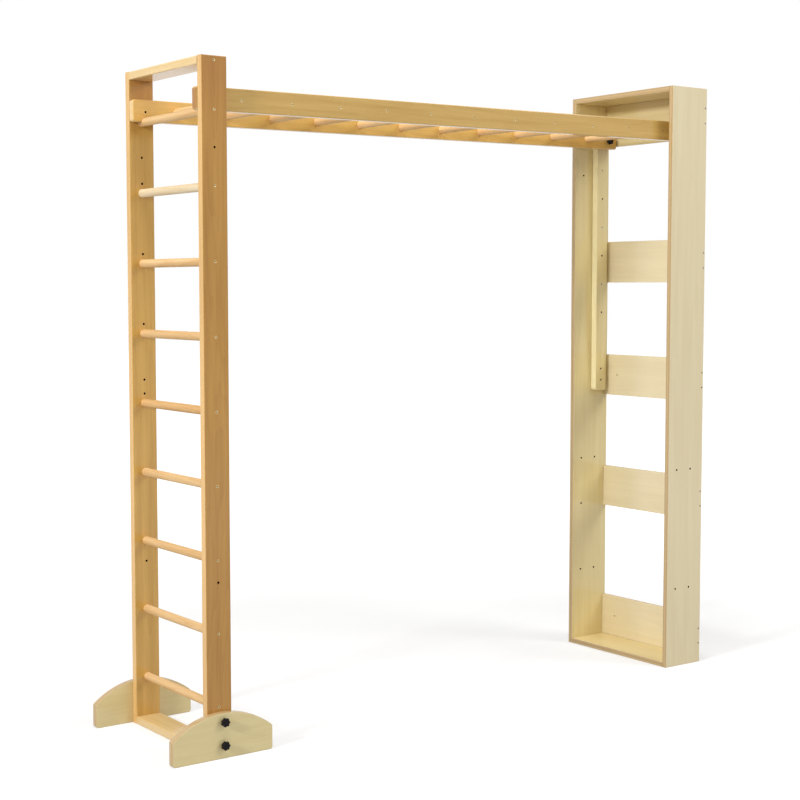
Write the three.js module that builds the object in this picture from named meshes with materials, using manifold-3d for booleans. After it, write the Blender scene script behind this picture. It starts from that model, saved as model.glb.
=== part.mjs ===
// A wall climbing set in wood: an open wall box, a free-standing ladder on half-moon feet,
// and an overhead ladder that hangs in the box at one end and hooks over a ladder rung at the other.
// Millimetres, +Z up, +X towards the wall. Left is +Y, as seen by someone who faces the wall.

import * as THREE from "three";
import { mergeVertices } from "three/addons/utils/BufferGeometryUtils.js";
import Module from "manifold-3d";

const wasm = await Module();
wasm.setup();

// Wall box
const boxWidth = 600;
const boxDepth = 200;
const boxBoard = 21; // thickness of the sides, the top and the bottom
const slatHeight = 180;
const slatThickness = 15;
const slatPitch = 500; // between the middle slats
const slatDrop = 5.5; // middle slat below the middle of the box
const middleSlats = 3;
const slatHoleInset = 81; // wall screw holes, from the inside of the box
const slatScrewSpacing = 62; // between the two screws in each slat end
const cleatWidth = 62;
const cleatHead = 75; // cleat above its highest bolt hole
const cleatTail = 97; // cleat below its lowest bolt hole
const cleatCorner = 12;
const cleatScrews = 3; // midway between its upper bolt holes

// Free ladder
const ladderHeight = 2345;
const uprightDepth = 95;
const uprightThickness = 30;
const ladderBoard = 28; // thickness of the boards that close the ladder's two ends
const rungDiameter = 30;
const rungPitch = 250;
const firstRungHeight = 170;
const lastRungMargin = 170; // least distance from the last rung to the ladder's top
const heightSteps = 5; // rungs that the overhead ladder can hook over
const spareHoleOffset = 50; // spare hole above the lowest one in an upright, below it in a cleat
const storageBoltHeights = [595, 2046]; // bolts that lock the ladder into the box

// Feet
const footLength = 384;
const footHeight = 155;
const footEndHeight = 84;
const footThickness = 28;
const footCorner = 10;
const footBoltSpacing = 80;
const footLowerBolt = 46;
const footStoreHeights = [328, 828]; // bolt holes for the feet on the box sides
const footStoreDepth = 89; // middle of those holes behind the box front

// Overhead ladder
const railLength = 2348;
const railHeight = 78;
const railThickness = 30;
const railCorner = 10;
const railBoltInset = 49;
const overheadRungPitch = 200;
const overheadEndMargin = 174; // first and last rung from the rail ends
const railRise = 4; // middle of the rail, with its rungs, above the bolt line
const overheadRise = 21; // wall bolts above the bolt line of the ladder end
const notchLip = 1; // hooked rung's centre above the rail's lower edge

// Knobs, inserts, spacers and screws
const knobDiameter = 32;
const knobLobes = 7;
const knobLobeDepth = 3;
const knobGrip = 13;
const knobArris = 1.5;
const hubDiameter = 19;
const hubLength = 6;
const studDiameter = 8;
const insertDiameter = 13;
const insertCover = 13; // wood left behind an insert
const studEndGap = 3; // stud's end short of the insert's end
const spacerThickness = 3;
const spacerDiameter = 25;
const screwHeadDiameter = 9;
const screwHeadDepth = 2.5;
const holeDiameter = 9; // plain bolt holes
const blindHoleDepth = 14;
const slatHoleDiameter = 7;

// Fits and edges
const storageGap = 2; // stored ladder to a box side
const storageHeadroom = 18; // stored ladder to the box top
const storageSetback = 2; // stored ladder behind the box front
const railGap = 3; // rail to an upright
const railEndGap = 3; // rail end to the slats
const glueGap = 0.3; // between pieces that are glued or screwed together
const studGap = 0.4; // round a stud in its hole
const notchGap = 0.5; // round the hooked rung
const socketCover = 18; // wood left behind a rung's end
const solidArris = 3; // rounding of the solid wood's edges
const panelArris = 1; // rounding of the panel edges

// Facets
const rungSides = 16;
const holeSides = 10;
const screwSides = 8;
const arrisSteps = 2;
const cornerSteps = 2;
const archSteps = 5;
const lobeSteps = 4;

// Equal steps from a first value
function steps(first, pitch, count) {
  return Array.from({ length: count }, (_, step) => first + pitch * step);
}

// Places that follow from the sizes above
const sides = { left: 1, right: -1 };
const cutPast = 1; // a cutter's reach past the face that it enters
const boxInside = boxWidth / 2 - boxBoard;
const boxHeight = ladderHeight + storageHeadroom + 2 * boxBoard;
const ladderOutside = boxInside - storageGap;
const ladderInside = ladderOutside - uprightThickness;
const railOutside = ladderInside - railGap;
const railInside = railOutside - railThickness;
const cleatInside = railOutside + spacerThickness;
const cleatOutside = boxInside - glueGap;
const cleatThickness = cleatOutside - cleatInside;
const insertLength = uprightThickness - insertCover;
const insertSeat = insertDiameter + 2 * glueGap;
const studHole = studDiameter + 2 * studGap;
const socketDepth = uprightThickness - socketCover;
const railSocketDepth = railThickness - socketCover;

const rungRoom = ladderHeight - firstRungHeight - lastRungMargin;
const rungHeights = steps(firstRungHeight, rungPitch, Math.floor(rungRoom / rungPitch) + 1);
const hookedRungHeight = rungHeights.at(-1);
const rungX = uprightDepth / 2;
const ladderBoltHeight = hookedRungHeight + railHeight / 2 - railRise - notchLip;
const hookHeights = steps(ladderBoltHeight, -rungPitch, heightSteps);

const boltSpan = railLength - 2 * railBoltInset;
const tilt = Math.asin(overheadRise / boltSpan);
const ladderBoltX = rungX;
const wallBoltX = ladderBoltX + boltSpan * Math.cos(tilt);
const wallBoltHeight = ladderBoltHeight + overheadRise;
const cleatBoltHeights = steps(wallBoltHeight, -rungPitch, heightSteps);
const boxBack = wallBoltX + railBoltInset + railEndGap + slatThickness;
const boxFront = boxBack - boxDepth;
const footBoltHeights = { lower: footLowerBolt, upper: footLowerBolt + footBoltSpacing };
const middleX = (Math.min(rungX - footLength / 2, 0) + boxBack) / 2;

// Finishes
const beech = () => finish(0xd2a767, 0.45, 0);
const birch = () => finish(0xe2d2a4, 0.5, 0);
const blackPlastic = () => finish(0x17161a, 0.35, 0);
const zincSteel = () => finish(0xa9abad, 0.35, 1);

function finish(color, roughness, metalness) {
  return new THREE.MeshStandardMaterial({ color, roughness, metalness });
}

// Cutting and joining of closed shapes
function solid(geometry) {
  geometry.deleteAttribute("normal");
  geometry.deleteAttribute("uv");
  const merged = mergeVertices(geometry);
  const vertProperties = merged.attributes.position.array;
  const triVerts = Uint32Array.from(merged.index.array);
  return new wasm.Manifold(new wasm.Mesh({ numProp: 3, vertProperties, triVerts }));
}

function cut(geometry, cutters) {
  return cutters.reduce((left, cutter) => left.subtract(solid(cutter)), solid(geometry));
}

function join(geometries) {
  return geometries.map(solid).reduce((whole, piece) => whole.add(piece));
}

function shown(made) {
  const { vertProperties, triVerts } = made.getMesh();
  const geometry = new THREE.BufferGeometry();
  geometry.setAttribute("position", new THREE.BufferAttribute(vertProperties, 3));
  geometry.setIndex(new THREE.BufferAttribute(triVerts, 1));
  return geometry;
}

function add(group, name, made, material) {
  const geometry = made.isBufferGeometry ? made : shown(made);
  geometry.computeVertexNormals();
  const mesh = new THREE.Mesh(geometry, material);
  mesh.name = name;
  group.add(mesh);
}

// A rectangle with sharp or round corners, centred on the origin
function rectangle(length, height) {
  const [x, y] = [length / 2, height / 2];
  const corners = [[x, y], [-x, y], [-x, -y], [x, -y]];
  return new THREE.Shape(corners.map((corner) => new THREE.Vector2(...corner)));
}

function roundedRectangle(length, height, radius) {
  const right = length / 2 - radius;
  const top = height / 2 - radius;
  const quarter = Math.PI / 2;
  const outline = new THREE.Shape();
  outline.absarc(right, top, radius, 0, quarter);
  outline.absarc(-right, top, radius, quarter, 2 * quarter);
  outline.absarc(-right, -top, radius, 2 * quarter, 3 * quarter);
  outline.absarc(right, -top, radius, 3 * quarter, 4 * quarter);
  return outline;
}

// A board in the X, Y plane with its arrises rounded, its thickness centred on Z = 0
function board(outline, thickness, arris, curveSegments = cornerSteps) {
  const depth = thickness - 2 * arris;
  const geometry = new THREE.ExtrudeGeometry(outline, {
    depth,
    curveSegments,
    bevelThickness: arris,
    bevelSize: arris,
    bevelOffset: -arris,
    bevelSegments: arrisSteps,
  });
  return geometry.translate(0, 0, -depth / 2);
}

// The same board stood up along X, or across it along Y
const alongX = (geometry) => geometry.rotateX(Math.PI / 2);
const alongY = (geometry) => alongX(geometry).rotateZ(Math.PI / 2);

// A round bar or hole parallel to Y
function rod(x, z, diameter, start, end, facets) {
  const bar = new THREE.CylinderGeometry(diameter / 2, diameter / 2, Math.abs(end - start), facets);
  return bar.translate(x, (start + end) / 2, z);
}

// A hole drilled outwards from the inner face of a board on one side, or inwards from its outer face
function fromInside(side, x, z, diameter, face, depth, facets = holeSides) {
  return rod(x, z, diameter, side * (face - cutPast), side * (face + depth), facets);
}

function fromOutside(side, x, z, diameter, face, depth, facets = holeSides) {
  return rod(x, z, diameter, side * (face + cutPast), side * (face - depth), facets);
}

// The hole that takes a threaded insert, and the shallow one that takes a screw head
function insertHole(side, x, z, face) {
  return fromOutside(side, x, z, insertSeat, face, insertLength + glueGap, rungSides);
}

function screwHole(side, x, z, face, drill = fromOutside) {
  return drill(side, x, z, screwHeadDiameter, face, screwHeadDepth, screwSides);
}

// A ring round a stud, from one face to another
function ring(x, z, diameter, start, end) {
  const past = Math.sign(end - start) * cutPast;
  const hole = rod(x, z, studHole, start - past, end + past, holeSides);
  return cut(rod(x, z, diameter, start, end, rungSides), [hole]);
}

// A star knob and its stud, on an axis parallel to Y, seated at one height and pointing along reach
function starKnob(x, z, seat, reach, studLength) {
  const outline = new THREE.Shape();
  const points = steps(0, (2 * Math.PI) / (knobLobes * lobeSteps), knobLobes * lobeSteps);
  const onLobe = (angle) => {
    const radius = knobDiameter / 2 - (knobLobeDepth * (1 - Math.cos(knobLobes * angle))) / 2;
    return new THREE.Vector2(radius * Math.cos(angle), radius * Math.sin(angle));
  };
  outline.setFromPoints(points.map(onLobe));
  const grip = alongX(board(outline, knobGrip, knobArris));
  grip.translate(x, seat - reach * (hubLength + knobGrip / 2), z);
  const hub = rod(x, z, hubDiameter, seat, seat - reach * (hubLength + cutPast), rungSides);
  const stud = rod(x, z, studDiameter, seat - reach * cutPast, seat + reach * studLength, holeSides);
  return join([grip, hub, stud]);
}

// A level board between two sides whose inner faces stand at one distance from the middle
function crossBoard(inside, depth, thickness, arris, x, z) {
  const flat = board(rectangle(depth, 2 * (inside - glueGap)), thickness, arris);
  return flat.translate(x, 0, z);
}

// Wall box: two sides, top, bottom, back slats and the two cleats that carry the overhead ladder
function wallBox() {
  const box = new THREE.Group();
  const middle = boxFront + boxDepth / 2;
  const slatX = boxBack - slatThickness / 2;
  const lowSlat = boxBoard + glueGap + slatHeight / 2;
  const highSlat = boxHeight - lowSlat;
  const firstMiddle = boxHeight / 2 - slatDrop - (slatPitch * (middleSlats - 1)) / 2;
  const slatHeights = [lowSlat, ...steps(firstMiddle, slatPitch, middleSlats), highSlat];
  const ladderStand = boxBoard + storageHeadroom / 2; // the stored ladder hangs midway in its headroom

  for (const [hand, side] of Object.entries(sides)) {
    const drill = (behindFront, z, depth) => {
      return fromInside(side, boxFront + behindFront, z, holeDiameter, boxInside, depth);
    };
    const ladderLocks = storageBoltHeights.map((height) => {
      return drill(storageSetback + rungX, ladderStand + height, blindHoleDepth);
    });
    const footHoles = footStoreHeights.flatMap((height) => [
      drill(footStoreDepth - footBoltSpacing / 2, height, boxBoard + cutPast),
      drill(footStoreDepth + footBoltSpacing / 2, height, boxBoard + cutPast),
    ]);
    const slatScrews = slatHeights.flatMap((height) => [
      screwHole(side, slatX, height - slatScrewSpacing / 2, boxWidth / 2),
      screwHole(side, slatX, height + slatScrewSpacing / 2, boxWidth / 2),
    ]);
    const panel = alongX(board(rectangle(boxDepth, boxHeight), boxBoard, panelArris));
    panel.translate(middle, side * (boxWidth / 2 - boxBoard / 2), boxHeight / 2);
    add(box, `box_side_${hand}`, cut(panel, [...ladderLocks, ...footHoles, ...slatScrews]), birch());
    add(box, `hanger_cleat_${hand}`, cleat(side), birch());

    const insertStart = cleatOutside - insertLength;
    const insert = ring(wallBoltX, wallBoltHeight, insertDiameter, side * insertStart, side * cleatOutside);
    add(box, `wall_insert_${hand}`, insert, zincSteel());
    const spacerStart = railOutside + glueGap;
    const spacerEnd = cleatInside - glueGap;
    const spacer = ring(wallBoltX, wallBoltHeight, spacerDiameter, side * spacerStart, side * spacerEnd);
    add(box, `wall_spacer_${hand}`, spacer, blackPlastic());
    const seat = railInside - glueGap;
    const knob = starKnob(wallBoltX, wallBoltHeight, side * seat, side, cleatOutside - studEndGap - seat);
    add(box, `wall_knob_${hand}`, knob, blackPlastic());
  }

  const ends = { bottom: boxBoard / 2, top: boxHeight - boxBoard / 2 };
  for (const [end, height] of Object.entries(ends)) {
    const closing = crossBoard(boxInside, boxDepth, boxBoard, panelArris, middle, height);
    add(box, `box_${end}`, closing, birch());
  }
  slatHeights.forEach((height, step) => {
    const length = 2 * (boxInside - glueGap);
    const slat = alongY(board(rectangle(length, slatHeight), slatThickness, panelArris));
    slat.translate(slatX, 0, height);
    const screwed = step % 2 === 0; // every other slat takes wall screws
    const holes = (screwed ? Object.values(sides) : []).map((side) => {
      const hole = rod(0, 0, slatHoleDiameter, -slatThickness, slatThickness, holeSides);
      return hole.rotateZ(Math.PI / 2).translate(slatX, side * (boxInside - slatHoleInset), height);
    });
    add(box, `back_slat_${step + 1}`, cut(slat, holes), birch());
  });
  return box;
}

// A cleat on the inside of a box side, with a row of bolt holes and round corners
function cleat(side) {
  const lowest = cleatBoltHeights.at(-1);
  const bottom = lowest - cleatTail;
  const top = wallBoltHeight + cleatHead;
  const outline = roundedRectangle(cleatWidth, top - bottom, cleatCorner);
  const strip = alongX(board(outline, cleatThickness, solidArris));
  strip.translate(wallBoltX, side * (cleatInside + cleatThickness / 2), (top + bottom) / 2);
  const bolts = [...cleatBoltHeights, lowest - spareHoleOffset].map((height) => {
    return fromInside(side, wallBoltX, height, studHole, cleatInside, cleatThickness + cutPast);
  });
  const insert = insertHole(side, wallBoltX, wallBoltHeight, cleatOutside);
  const screws = steps(wallBoltHeight - rungPitch / 2, -rungPitch, cleatScrews).map((height) => {
    return screwHole(side, wallBoltX, height, cleatInside, fromInside);
  });
  return cut(strip, [...bolts, insert, ...screws]);
}

// Free ladder: two uprights, the boards that close them, the rungs, and the feet with their knobs
function freeLadder() {
  const ladder = new THREE.Group();
  for (const [hand, side] of Object.entries(sides)) {
    add(ladder, `upright_${hand}`, upright(side), beech());
    add(ladder, `foot_${hand}`, foot(side), birch());
    const seat = ladderOutside + footThickness + 2 * glueGap;
    const insertEnd = ladderOutside - insertLength;
    for (const [level, height] of Object.entries(footBoltHeights)) {
      const insert = ring(rungX, height, insertDiameter, side * ladderOutside, side * insertEnd);
      add(ladder, `foot_insert_${hand}_${level}`, insert, zincSteel());
      const knob = starKnob(rungX, height, side * seat, -side, seat - insertEnd - studEndGap);
      add(ladder, `foot_knob_${hand}_${level}`, knob, blackPlastic());
    }
  }
  const ends = { bottom: ladderBoard / 2, top: ladderHeight - ladderBoard / 2 };
  for (const [end, height] of Object.entries(ends)) {
    const closing = crossBoard(ladderInside, uprightDepth, ladderBoard, solidArris, rungX, height);
    add(ladder, `ladder_${end}_board`, closing, beech());
  }
  const reach = ladderInside + socketDepth - glueGap;
  rungHeights.forEach((height, step) => {
    const rung = rod(rungX, height, rungDiameter, -reach, reach, rungSides);
    add(ladder, `ladder_rung_${step + 1}`, rung, beech());
  });
  return ladder;
}

// An upright with its rung sockets, hook bolt holes, storage bolt holes, insert seats and sunk screws
function upright(side) {
  const post = alongX(board(rectangle(uprightDepth, ladderHeight), uprightThickness, solidArris));
  post.translate(rungX, side * (ladderInside + uprightThickness / 2), ladderHeight / 2);
  const socket = rungDiameter + 2 * glueGap;
  const sockets = rungHeights.map((height) => {
    return fromInside(side, rungX, height, socket, ladderInside, socketDepth, rungSides);
  });
  const blind = [...hookHeights, hookHeights.at(-1) + spareHoleOffset].map((height) => {
    return fromInside(side, rungX, height, holeDiameter, ladderInside, blindHoleDepth);
  });
  const locks = storageBoltHeights.map((height) => {
    return fromInside(side, rungX, height, holeDiameter, ladderInside, uprightThickness + cutPast);
  });
  const inserts = Object.values(footBoltHeights).map((height) => {
    return insertHole(side, rungX, height, ladderOutside);
  });
  const screwHeights = [ladderBoard / 2, ...rungHeights, ladderHeight - ladderBoard / 2];
  const screws = screwHeights.map((height) => {
    return screwHole(side, rungX, height, ladderOutside);
  });
  return cut(post, [...sockets, ...blind, ...locks, ...inserts, ...screws]);
}

// A half-moon foot: straight ends, an arched top through three points, and round corners
function foot(side) {
  const half = footLength / 2;
  const rise = footHeight - footEndHeight;
  const radius = (half * half + rise * rise) / (2 * rise);
  const centre = footHeight - radius;
  const inner = radius - footCorner;
  const cornerX = half - footCorner;
  const cornerY = centre + Math.sqrt(inner * inner - cornerX * cornerX);
  const meet = Math.atan2(cornerY - centre, cornerX);
  const quarter = Math.PI / 2;
  const outline = new THREE.Shape();
  outline.absarc(cornerX, footCorner, footCorner, -quarter, 0);
  outline.absarc(cornerX, cornerY, footCorner, 0, meet);
  outline.absarc(0, centre, radius, meet, Math.PI - meet);
  outline.absarc(-cornerX, cornerY, footCorner, Math.PI - meet, Math.PI);
  outline.absarc(-cornerX, footCorner, footCorner, Math.PI, 3 * quarter);
  const plate = alongX(board(outline, footThickness, panelArris, archSteps));
  plate.translate(rungX, side * (ladderOutside + glueGap + footThickness / 2), 0);
  const holes = Object.values(footBoltHeights).map((height) => {
    return fromInside(side, rungX, height, studHole, ladderOutside + glueGap, footThickness + cutPast);
  });
  return cut(plate, holes);
}

// Overhead ladder: drawn level along its rails, then tilted so that both bolt lines meet their holes
function overheadLadder() {
  const overhead = new THREE.Group();
  overhead.rotation.y = -tilt;
  overhead.position.x = ladderBoltX - railBoltInset * Math.cos(tilt);
  overhead.position.z = ladderBoltHeight - railBoltInset * Math.sin(tilt);
  overhead.updateMatrixWorld();
  const hooked = overhead.worldToLocal(new THREE.Vector3(rungX, 0, hookedRungHeight));

  const rungCount = Math.floor((railLength - 2 * overheadEndMargin) / overheadRungPitch) + 1;
  const rungPlaces = steps(overheadEndMargin, overheadRungPitch, rungCount);
  for (const [hand, side] of Object.entries(sides)) {
    add(overhead, `rail_${hand}`, rail(side, rungPlaces, hooked), beech());
  }
  const reach = railInside + railSocketDepth - glueGap;
  rungPlaces.forEach((place, step) => {
    const rung = rod(place, railRise, rungDiameter, -reach, reach, rungSides);
    add(overhead, `overhead_rung_${String(step + 1).padStart(2, "0")}`, rung, beech());
  });
  return overhead;
}

// A rail with its rung sockets, bolt holes, sunk screws and the notch that hooks over a ladder rung
function rail(side, rungPlaces, hooked) {
  const outline = roundedRectangle(railLength, railHeight, railCorner);
  const beam = alongX(board(outline, railThickness, solidArris));
  beam.translate(railLength / 2, side * (railInside + railThickness / 2), railRise);
  const socket = rungDiameter + 2 * glueGap;
  const sockets = rungPlaces.map((place) => {
    return fromInside(side, place, railRise, socket, railInside, railSocketDepth, rungSides);
  });
  const screws = rungPlaces.map((place) => {
    return screwHole(side, place, railRise, railOutside);
  });
  const bolts = [railBoltInset, railLength - railBoltInset].map((place) => {
    return fromInside(side, place, 0, studHole, railInside, railThickness + cutPast);
  });
  const notchWidth = rungDiameter + 2 * notchGap;
  const throat = new THREE.BoxGeometry(notchWidth, railThickness + 2 * cutPast, railHeight);
  throat.translate(hooked.x, side * (railInside + railThickness / 2), hooked.z - railHeight / 2);
  const seat = fromInside(
    side, hooked.x, hooked.z, notchWidth, railInside, railThickness + cutPast, rungSides,
  );
  return cut(beam, [...sockets, ...screws, ...bolts, throat, seat]);
}

// The whole set stands on the floor with its origin under the middle of its length
const climbingSet = new THREE.Group();
climbingSet.add(wallBox(), freeLadder(), overheadLadder());
climbingSet.position.x = -middleX;

export default climbingSet;
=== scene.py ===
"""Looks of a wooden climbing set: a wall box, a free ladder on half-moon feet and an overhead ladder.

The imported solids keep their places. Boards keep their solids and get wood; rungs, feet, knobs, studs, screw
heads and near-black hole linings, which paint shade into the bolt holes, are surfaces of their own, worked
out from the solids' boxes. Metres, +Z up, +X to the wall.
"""

import math

import bmesh
import bpy
import numpy as np
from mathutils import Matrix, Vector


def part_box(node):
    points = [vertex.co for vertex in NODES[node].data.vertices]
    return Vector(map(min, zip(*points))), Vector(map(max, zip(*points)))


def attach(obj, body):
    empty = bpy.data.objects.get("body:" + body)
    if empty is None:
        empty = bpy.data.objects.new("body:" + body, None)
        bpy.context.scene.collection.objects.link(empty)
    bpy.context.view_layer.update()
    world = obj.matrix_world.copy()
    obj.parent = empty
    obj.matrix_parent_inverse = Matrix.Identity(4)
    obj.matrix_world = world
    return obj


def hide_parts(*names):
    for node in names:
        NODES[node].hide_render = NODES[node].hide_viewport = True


bl_info = {
    "name": "Wooden climbing set",
    "version": (1, 0, 0),
    "blender": (4, 5, 0),
    "location": "View3D > Sidebar > Climbing set",
    "description": "Wood, knobs, screws and stage for a wall box with two ladders",
    "category": "Object",
}

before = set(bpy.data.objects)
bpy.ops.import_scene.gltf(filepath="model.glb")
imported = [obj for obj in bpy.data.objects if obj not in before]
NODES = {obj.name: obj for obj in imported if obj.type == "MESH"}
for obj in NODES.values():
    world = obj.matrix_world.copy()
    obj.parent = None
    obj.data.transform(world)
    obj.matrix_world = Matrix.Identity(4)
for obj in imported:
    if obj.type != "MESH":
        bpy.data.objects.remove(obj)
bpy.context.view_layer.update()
SIDES = {"left": 1, "right": -1}
AXES = {"X": (1.0, 0.0, 0.0), "Y": (0.0, 1.0, 0.0), "Z": (0.0, 0.0, 1.0)}
GRAIN_ORDER = {"X": "YZX", "Y": "ZXY", "Z": "XYZ"}  # axes in the order that puts the grain's axis last
SHARP_ANGLE = math.radians(40)  # an edge that turns more than this stays sharp
SENSOR_WIDTH = 36.0  # millimetres


def corners(node):
    """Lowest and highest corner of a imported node, as arrays."""
    low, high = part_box(node)
    return np.array(low), np.array(high)


def middle(node):
    """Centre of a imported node's box."""
    low, high = corners(node)
    return (low + high) / 2


def extent(node):
    """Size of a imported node's box along X, Y and Z."""
    low, high = corners(node)
    return high - low


def depths(node):
    """Distances of the inner and the outer face of a node beside the middle plane from that plane."""
    near, far = sorted(abs(float(corner[1])) for corner in corners(node))
    return near, far


def numbered(start):
    """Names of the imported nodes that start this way, in order."""
    return sorted(name for name in NODES if name.startswith(start))


LADDER_RUNGS = numbered("ladder_rung_")
OVERHEAD_RUNGS = numbered("overhead_rung_")
SLATS = numbered("back_slat_")
FOOT_KNOBS = numbered("foot_knob_")
WALL_KNOBS = numbered("wall_knob_")
RUNG_PITCH = float(middle(LADDER_RUNGS[1])[2] - middle(LADDER_RUNGS[0])[2])


def colour(name, description, default):
    """A colour property."""
    return bpy.props.FloatVectorProperty(
        name=name, description=description, subtype="COLOR", size=3, min=0, max=1, default=default
    )


def length(name, description, default):
    """A length property in metres."""
    return bpy.props.FloatProperty(
        name=name, description=description, default=default,
        subtype="DISTANCE", unit="LENGTH", min=0, precision=4,
    )


def heights(name, description, default):
    """A property of two lengths in metres."""
    return bpy.props.FloatVectorProperty(
        name=name, description=description, default=default, subtype="XYZ_LENGTH", unit="LENGTH", size=2
    )


def rotation(name, description, degrees):
    """An angle property."""
    return bpy.props.FloatProperty(
        name=name, description=description, default=math.radians(degrees), subtype="ANGLE", unit="ROTATION"
    )


def number(name, description, default):
    """A plain number property."""
    return bpy.props.FloatProperty(name=name, description=description, min=0, default=default)


def count(name, description, default):
    """A whole number property."""
    return bpy.props.IntProperty(name=name, description=description, min=1, default=default)


class ClimbingWood(bpy.types.PropertyGroup):
    """Colours and grain of the two woods."""

    ladder_light: colour("Uprights, pale", "Pale tone of the uprights' outer faces", (0.59, 0.315, 0.072))
    ladder_dark: colour("Uprights, dark", "Dark tone of the uprights' outer faces", (0.43, 0.205, 0.038))
    # Painted light: faces that look to the middle take tones paler than the outer faces.
    painted_lit_ladder_inner_pale: colour("Uprights inside, pale", "Pale tone inside the ladder", (0.69, 0.42, 0.11))
    painted_lit_ladder_inner_dark: colour("Uprights inside, dark", "Dark tone inside the ladder", (0.52, 0.29, 0.062))
    rail_light: colour("Rails, pale", "Pale tone of the rails' outer faces", (0.70, 0.455, 0.14))
    rail_dark: colour("Rails, dark", "Dark tone of the rails' outer faces", (0.55, 0.335, 0.085))
    painted_lit_rail_inner_pale: colour("Rails inside, pale", "Pale tone inside the rails", (0.82, 0.51, 0.15))
    painted_lit_rail_inner_dark: colour("Rails inside, dark", "Dark tone inside the rails", (0.68, 0.40, 0.10))
    # The narrow edges are paler partly for their grain and partly as painted sheen of the lamp in front.
    edge_grain_and_painted_sheen: colour("Edges, pale", "Narrow edges of the uprights and rails", (0.82, 0.52, 0.205))
    board_light: colour("Boards, pale", "Pale tone of the ladder's end boards", (0.82, 0.61, 0.30))
    board_dark: colour("Boards, dark", "Dark tone of the ladder's end boards", (0.70, 0.47, 0.19))
    end_dark: colour("End grain, dark", "Dark end grain of the ladder's boards", (0.344, 0.164, 0.03))
    # Painted shade: the uprights' heads turn redder and darker from one height up; the same red is the right
    # rail's end grain.
    red_end_and_painted_head_shade: colour("Red wood", "Right rail's end grain and the uprights' heads", (0.42, 0.18, 0.04))
    painted_shade_start: length("Head start", "Height at which the uprights' wood begins to redden", 2.1)
    painted_shade_end: length("Head end", "Height from which it is reddest", 2.28)
    painted_shade_share: number("Head share", "Share of red wood in the uprights' heads", 0.5)
    rung_light: colour("Rungs, pale", "Pale tone of the rungs", (0.84, 0.585, 0.305))
    rung_dark: colour("Rungs, dark", "Dark tone of the rungs", (0.62, 0.355, 0.135))
    pale_rung_light: colour("Pale rung, pale", "Pale tone of the palest rung", (0.90, 0.80, 0.58))
    pale_rung_dark: colour("Pale rung, dark", "Dark tone of the palest rung", (0.68, 0.49, 0.27))
    red_rung_light: colour("Red rung, pale", "Pale tone of the reddest rung", (0.76, 0.48, 0.22))
    red_rung_dark: colour("Red rung, dark", "Dark tone of the reddest rung", (0.56, 0.29, 0.095))
    panel_light: colour("Panels, pale", "Pale tone of the lower slats and outer sides", (0.83, 0.715, 0.46))
    panel_dark: colour("Panels, dark", "Dark tone of the lower slats and outer sides", (0.77, 0.65, 0.40))
    # Inside the box these tones are painted light, yellower and paler for the light thrown between its wooden
    # faces; the feet take them as their own tone.
    feet_and_painted_bounce_pale: colour("Inside, pale", "Pale tone inside the box and of the feet", (0.80, 0.675, 0.36))
    feet_and_painted_bounce_dark: colour("Inside, dark", "Dark tone inside the box and of the feet", (0.73, 0.59, 0.28))
    # Painted highlight: the cleats' narrow front edges are painted near white.
    cleat_edge_painted_highlight: colour("Cleat edge", "Pale tone of the cleats' narrow edges", (1.0, 0.91, 0.56))
    # Painted light: the box's top and bottom are painted paler than the other panels, for light they get.
    painted_lit_level_pale: colour("Top and bottom, pale", "Pale tone of the box's top and bottom", (0.88, 0.73, 0.39))
    painted_lit_level_dark: colour("Top and bottom, dark", "Dark tone of the box's top and bottom", (0.80, 0.64, 0.31))
    ply_light: colour("Ply, pale", "Pale layers on the panels' edges", (0.66, 0.48, 0.25))
    ply_dark: colour("Ply, dark", "Dark layers on the panels' edges", (0.42, 0.27, 0.11))
    ply_layer: length("Ply layer", "Thickness of one layer of the panels", 0.0015)
    ladder_lines: number("Ladder lines", "Growth lines across one patch of ladder wood", 16)
    panel_lines: number("Panel lines", "Growth lines across one patch of panel wood", 10)
    lacquer: number("Lacquer", "Weight of the clear coat on boards and panels", 0.9)
    rung_lacquer: number("Rung lacquer", "Weight of the clear coat on rungs", 0.15)


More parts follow.
